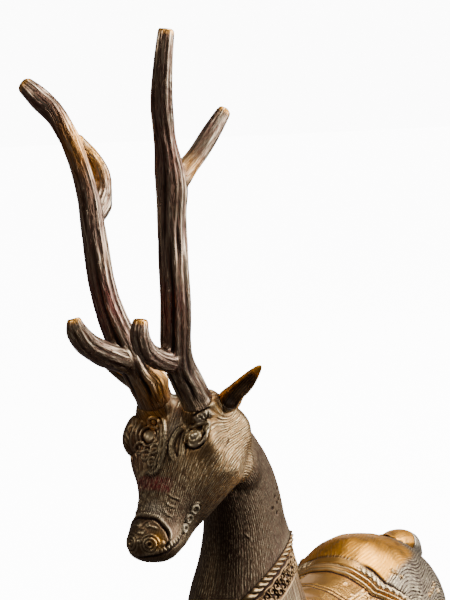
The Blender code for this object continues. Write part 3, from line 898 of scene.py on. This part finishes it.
def make_torso(material):
    """The body under its saddle cloth, with borders, rosettes and beads."""
    skin = Chasing(casting("torso", 1.6, 16))
    y = skin.points[:, 1]
    behind = np.linalg.norm(skin.points[:, :2] - NECK_ROOT, axis=1)
    dip = ease(y, -30, 6) * (1 - ease(y, 32, 66)) * ease(behind, 30, 48)
    hump = np.exp(-(((y - 74) / 13) ** 2))
    skin.points[:, 2] += (1.2 * hump - 12 * dip) * ease(skin.points[:, 2], 52, 82)
    skin.swell((0, -8, 98), 24, -1.5)
    skin.refresh()
    points = skin.points
    barrel_middle = 40
    girth = np.degrees(np.arctan2(np.abs(points[:, 0]), points[:, 2] - barrel_middle))
    swept = points[:, 1] - 0.45 * np.clip(girth - 42, 0, 40)
    top = ease(points[:, 2], 18, 34)
    for at, depth in ((-14.5, 0.6), (-11.8, 0.6), (12.6, 0.7), (15.6, 0.7)):
        girdle(skin, swept, at, 0.7, -depth)
    girdle(skin, swept, 34.6, 0.8, -0.5)
    girdle(skin, swept, 37.0, 1.0, 1.3, ("gold", 0.9))
    girdle(skin, swept, 38.6, 0.6, -1.1)
    girdle(skin, swept, 40.3, 1.1, 1.7, ("gold", 1.0))
    girdle(skin, swept, 42.1, 0.7, -1.3)
    back = ease(girth, 16, 30)
    knots = 0.3 + 0.7 * np.abs(np.cos(math.pi * girth / 4.6 + 0.8 * (swept - 44.6)))
    rope = arch(swept, 44.6, 2.5) ** 0.6
    skin.height += 1.9 * rope * knots * back
    skin.tint("pale", rope * back)
    skin.height -= 1.0 * arch(swept, 47.9, 0.8) * back
    for at in (34.6, 38.2):
        stripe = arch(girth, at, 1.1) * ease(swept, 16, 17) * (1 - ease(swept, 34, 36))
        skin.height += 0.6 * stripe

    for centre, radii in (((19, 2, 86), (1.4, 3.2, 5.0)), ((32, 3, 74), (1.4, 3.0, 4.6))):
        for radius in radii:
            skin.ring(centre, radius, 0.45, 0.3)
    skin.boss((21, 26, 86.5), 1.7, 0.9, tone=("gold", 1.0))
    skin.boss((27, 22, 82.5), 1.2, 0.6)
    skin.boss((30, 29, 79.5), 1.2, 0.6)
    for step in range(6):
        spot = (33 + 0.55 * step, 19.5 + 2.9 * step, 75.5 - 0.8 * step)
        skin.boss(spot, 1.25, 1.0, tone=("gold" if step % 2 else "pale", 0.9))
        skin.ring((spot[0] + 2, spot[1], spot[2] - 4.4), 1.5, 0.5, 0.7)
    for step in range(7):
        skin.ring((24.5 + step * 0.6, -10 + 3.2 * step, 82 - 0.8 * step), 1.2, 0.45, 0.5)
    for spot in ((32.5, 58.2, 77), (34, 60.6, 74), (31, 56.4, 79)):
        skin.boss(spot, 1.3, 1.1, tone=("gold", 0.9))
    for radius in (3.2, 5.6, 8, 10.4):
        skin.ring((42, 61, 58), radius, 0.6, 0.7)
    for spot in ((38.2, 94.7, 59.5), (39.4, 90.5, 58.5), (40.5, 86.5, 57.5), (41.2, 82, 57), (39, 98, 54)):
        skin.boss(spot, 1.5, 1.1, tone=("gold", 0.8))

    low_panel = ease(girth, 38.5, 39.5) * ease(swept, 16.6, 17.4)
    low_panel *= 1 - ease(swept, 33, 34)
    front_panel = ease(girth, 28, 32) * ease(swept, -11, -10)
    front_panel *= 1 - ease(swept, 11, 11.8)
    carved = np.tanh(1.8 * scroll(girth * 0.8, swept, 3.9, 2.1))
    skin.height += 0.55 * carved * np.maximum(low_panel, 0.6 * front_panel) * top
    saddle = ease(swept, -40, -30) * (1 - ease(swept, 46, 48))
    neckward = (1 - ease(behind, 32, 38)) * ease(points[:, 2], 60, 76)
    saddle *= top * (1 - neckward)
    rump = ease(swept, 47, 49)
    skin.tones["tan"] = 0.95 * saddle
    skin.tones["stipple"] = 0.8 * saddle * ease(girth, 10, 22)
    skin.tones["stipple"] *= 1 - 0.6 * skin.tones["gold"]
    crown = 1 - ease(girth + 0.12 * (points[:, 1] - 60), 36, 43)
    crown *= 1 - ease(points[:, 1], 84, 104)
    skin.tint("gold", rump * crown)
    skin.tint("gold", 0.36 * saddle)
    skin.tint("pale", rump * (1 - crown) * 0.42)
    skin.tones["red"] = 0.35 * saddle * (1 - neckward) * (1 - ease(swept, -12, 14))
    hair = rump * (1.25 - 0.95 * crown) + 0.85 * (1 - saddle) * (1 - rump)
    around = np.arctan2(np.abs(points[:, 0]), NECK_ROOT[1] - points[:, 1]) * NECK_RADIUS
    lines = girth * 0.45 + 1.2 * np.sin(points[:, 1] / 6 + girth / 14)
    on_chest = ease(-swept, 26, 40) * (1 - neckward)
    lines = lines * (1 - neckward) + around * neckward + on_chest * 3 * np.sin(points[:, 2] / 9)
    skin.flow = np.stack([lines, points[:, 1], hair], 1)
    # Painted shade: the body is darkened over its lowest 22 mm, near the floor.
    skin.tones["dark"] = 0.25 * (1 - ease(points[:, 2], 6, 22))
    meet(skin, 1)
    return skin.finish("figure", ["torso"], "bronze", material)


def make_tail(material):
    """The short tail, gold with a pale tip."""
    skin = Chasing(casting("tail", 0.9, 8))
    skin.swell((0, 110, 83), 7, -1.4)
    skin.refresh()
    points = skin.points
    girdle(skin, points[:, 1] + 0.5 * (70 - points[:, 2]), 131.5, 0.9, -1.1)
    end = ease(points[:, 1] + 0.5 * (70 - points[:, 2]), 131, 133)
    skin.tones["gold"] = 1 - end
    skin.tones["pale"] = 0.9 * end
    skin.flow = np.stack([points[:, 0], points[:, 1], 0.3 + 0.3 * end], 1)
    skin.finish("figure", ["tail"], "polished_bronze", material)


def make_ear(label, side, material):
    """A leaf-shaped ear, gold along its upper edge."""
    skin = Chasing(casting(f"ear_{label}", 0.55, 6))
    points = skin.folded("both")
    root, tip = np.array((18, -91, 204.0)), np.array((50, -102, 230.5))
    way = (tip - root) / np.linalg.norm(tip - root)
    run = (points - root) @ way
    upward = np.cross(way, (0.45, -0.85, -0.25))
    upward /= np.linalg.norm(upward)
    if upward[2] < 0:
        upward = -upward
    rise = (points - root) @ upward
    higher = 1.1 * (1 - ease(run, 10, 28)) - 0.28 * (rise - 2.0) * ease(run, 8, 18)
    slim = np.outer(higher, upward)
    skin.points += slim * np.array([side, 1, 1])
    rise = rise + slim @ upward
    skin.tones["gold"] = ease(rise, 2.2, 4.2) * ease(run, 4, 12)
    skin.tint("gold", ease(run, 33, 38))
    skin.tones["stipple"] = 0.6 * (1 - ease(run, 6, 14))
    # Painted highlight: the lower part of the ear near its root is painted pale, lifting the dark of its
    # hollow.
    skin.tones["pale"] = 0.95 * (1 - ease(rise, -3, 4)) * (1 - ease(run, 14, 30))
    skin.flow = np.stack([rise, run, np.full(len(run), 0.5)], 1)
    skin.finish("figure", [f"ear_{label}"], "bronze", material)


def make_leg(name, label, material):
    """A folded leg: hair down the limb, a bony knee or hock, and a cloven hoof."""
    skin = Chasing(casting(f"{name}_{label}", 1.1, 7))
    limb, hoof_way, bend = LEGS[name]
    places = skin.folded("both")
    run, _, front, _ = along(places, smooth_path(limb), np.array([1.0, 0, 0]))
    aside = places[:, 0] - np.interp(run, (0, np.ptp(run)), (limb[0][0], limb[-1][0]))
    hoof_length = 12.5
    hoof = np.array(limb[-1]) - hoof_length * np.array(hoof_way)
    past = (places - hoof) @ np.array(hoof_way)
    near_end = np.linalg.norm(places - np.array(limb[-1]), axis=1) < 24
    past = np.where(near_end, past, -20.0)
    in_hoof = ease(past, 0, 1)
    skin.height -= 0.9 * arch(past, 0, 1.1)
    skin.height += 0.5 * arch(past, -2.4, 1.6)
    cleft = arch(places[:, 0] - limb[-1][0], -0.3)
    skin.height -= 1.3 * cleft * in_hoof * ease(places[:, 2], 7, 10)
    skin.height += 0.25 * np.sin(past * 2.6) * in_hoof
    tendon = np.exp(-(((aside - 1.5) / 2.4) ** 2)) * ease(run, np.ptp(run) * 0.52, np.ptp(run) * 0.6)
    skin.height += 0.8 * tendon * (1 - in_hoof)
    skin.swell(bend, 8, 0.9)
    skin.paint("gold", bend, (9, 9, 8), 0.6)
    skin.paint("tan", bend, (20, 22, 18), 0.5)
    skin.paint("pale", (limb[1][0] + 8, limb[1][1], limb[1][2] + 8), (12, 26, 14), 0.5)
    skin.tint("gold", 0.55 * in_hoof)
    # Painted shade: the leg is darkened over its lowest 12 mm, near the floor.
    skin.tones["dark"] = 0.3 * (1 - ease(places[:, 2], 2, 12))
    turn = np.arctan2(front, aside)
    skin.flow = np.stack([turn * 11, run, 0.85 * (1 - in_hoof)], 1)
    skin.finish("figure", [f"{name}_{label}"], "bronze", material)


# ---------------- antlers

def make_antler(label, side, material):
    """A fluted antler with rubbed ridges and bright cut ends."""
    skin = Chasing(casting(f"antler_{label}", 0.9, 7))
    points = skin.points.copy()
    best = np.full(len(points), np.inf)
    tip = np.zeros(len(points))
    carved = np.zeros(len(points))
    for limb_name, limb in LIMBS[label].items():
        path = smooth_path(limb)
        path[:, 0] *= side
        run, a, b, distance = along(points, path[:, :3], np.array([0.3, 1.0, 0.1]))
        radius = np.interp(run, np.linspace(0, run.max(), len(path)), path[:, 3])
        nearer = distance / radius < best
        best[nearer] = (distance / radius)[nearer]
        own_grain = 40 * len(limb_name)
        skin.flow[nearer] = np.stack([a, b, run + own_grain], 1)[nearer]
        tip[nearer] = ease(run - run.max(), -3.5, -0.5)[nearer]
        turn = np.arctan2(b, a)
        flutes = np.sin(13 * turn + 0.05 * run + 0.8 * np.sin(run / 17))
        flutes += 0.8 * np.sin(8 * turn - 0.04 * run + np.sin(run / 9))
        fluted = 0.034 * radius * flutes * ease(run, 2, 12)
        fluted *= 1 - 0.8 * ease(run - run.max(), -6, 0)
        carved[nearer] = (1.2 * fluted)[nearer]
        skin.height[nearer] = (fluted + 0.55 + 0.35 * ease(run, 8, 30) * (limb_name != "beam"))[nearer]
        # Painted shade: the left antler's upper tine is darkened as a whole.
        skin.tones["dark"][nearer] = 0.4 if (label, limb_name) == ("left", "upper_tine") else 0
        if label == "right" and limb_name == "upper_tine":
            towards_beam = 3.2 * np.clip(run / 46, 0, 1) ** 1.2 + 0.8 * ease(run, 6, 22)
            skin.points[nearer] -= np.outer(towards_beam, TOWARDS_RIGHT)[nearer]
    skin.height -= 0.4 * ease(points[:, 2], 350, 380)
    if label == "left":
        skin.points += np.outer(0.6 * ease(points[:, 2], 300, 350), TOWARDS_RIGHT)
        skin.height -= 0.35 * (1 - ease(points[:, 2], 290, 320)) + 0.8 * (1 - ease(points[:, 2], 240, 270))
    else:
        skin.height += 0.7 * ease(points[:, 2], 325, 350)
    rise = (points - ANTLER_SEAT * np.array([side, 1, 1])) @ ANTLER_WAY
    skirt = 1 - ease(rise, 0.2, 3)
    skin.points -= np.outer(1.3 * skirt, ANTLER_WAY)
    skin.height += 0.5 * skirt
    skin.tones["gold"] = tip
    if label == "right":
        skin.shape(
            ((-7, -110, 223), 8, 3.0, "left"), ((-25.5, -116, 326), 8, 1.3, "left"),
            ((-24, -122, 311), 6, 1.6, "left"), ((-24.5, -149.5, 260), 6, -1.7, "left"),
            ((-37, -148.5, 361), 9, 1.3, "left"),
        )
        skin.paint("gold", (-7, -112, 222), (7, 8, 11), 1.0, "left")
        skin.paint("gold", (-29, -116, 330), (4, 9, 16), 0.9, "left")
        skin.paint("gold", (-24, -137, 345), (6, 8, 16), 0.6, "left")
    else:
        skin.shape(
            ((28, -123, 317), 6, 1.6, "left"), ((24, -114, 230), 8, -1.2, "left"),
            ((32, -135, 340), 12, -1.3, "left"), ((24, -139, 325), 13, 0.9, "left"),
        )
        skin.paint("gold", (27, -122, 326), (6, 6, 7), 0.9, "left")
    skin.paint("red", (20, -136, 262), (9, 9, 16), 0.8)
    skin.paint("red", (24, -136, 345), (9, 9, 22), 0.6)
    name = f"antler_{label}"
    skin.finish(name, [name], "antler_bronze", material, worn=np.clip(carved, -1, 1))


# ---------------- plate, screws, studs and bushes

def turned_metal(name, colour, tarnish, grain):
    """Machined metal: fine tool marks, worn bright patches and dull tarnish."""
    material, tree, shader = new_metal(name)
    place = node(tree, "TexCoord").outputs["Object"]
    drawn = node(tree, "VectorMath", {0: place, 1: grain}, operation="MULTIPLY").outputs[0]
    marks = noise(tree, drawn, 1.0, 3.0, 0.7)
    patch = noise(tree, place, 130.0, 4.0, 0.6)
    spots = scaled(tree, patch, 3.2, -1.2, clamp=True)
    body = blend_colour(tree, spots, tarnish, colour)
    body = blend_colour(tree, scaled(tree, marks, 1.2, -0.4, clamp=True), body, tarnish)
    tree.links.new(body, shader.inputs["Base Color"])
    tree.links.new(scaled(tree, spots, -0.2, 0.5), shader.inputs["Roughness"])
    bump = node(tree, "Bump", {"Height": marks, "Distance": 0.06 * MM, "Strength": 1.0})
    tree.links.new(bump.outputs["Normal"], shader.inputs["Normal"])
    return material


def dress_hardware():
    """Gives the plate, screws, studs and bushes their metals; their shapes stay as they are."""
    sheet_grain, turned_grain = (160.0, 1400.0, 160.0), (300.0, 300.0, 3200.0)
    sheet = turned_metal("tarnished_sheet_brass", (0.62, 0.46, 0.22), (0.26, 0.17, 0.08), sheet_grain)
    steel = turned_metal("turned_steel", (0.62, 0.61, 0.58), (0.30, 0.28, 0.26), turned_grain)
    for name, part in frame["nodes"].items():
        if name.startswith(("base_screw", "antler_socket")) or name.endswith("_stud"):
            finish = steel
        elif name == "base_plate":
            finish = sheet
        else:
            continue
        for slot in part.material_slots:
            slot.material = finish


# ---------------- all together

make_camera()
make_studio()
chased = bronze("chased_bronze")
antler_bronze = bronze("fluted_bronze", limb=True)
neck_head = make_neck_head(chased)
torso = make_torso(chased)
make_collar([neck_head, torso], chased)
make_tail(chased)
for label, side in SIDES.items():
    make_ear(label, side, chased)
    for name in LEGS:
        make_leg(name, label, chased)
    make_antler(label, side, antler_bronze)

dress_hardware()
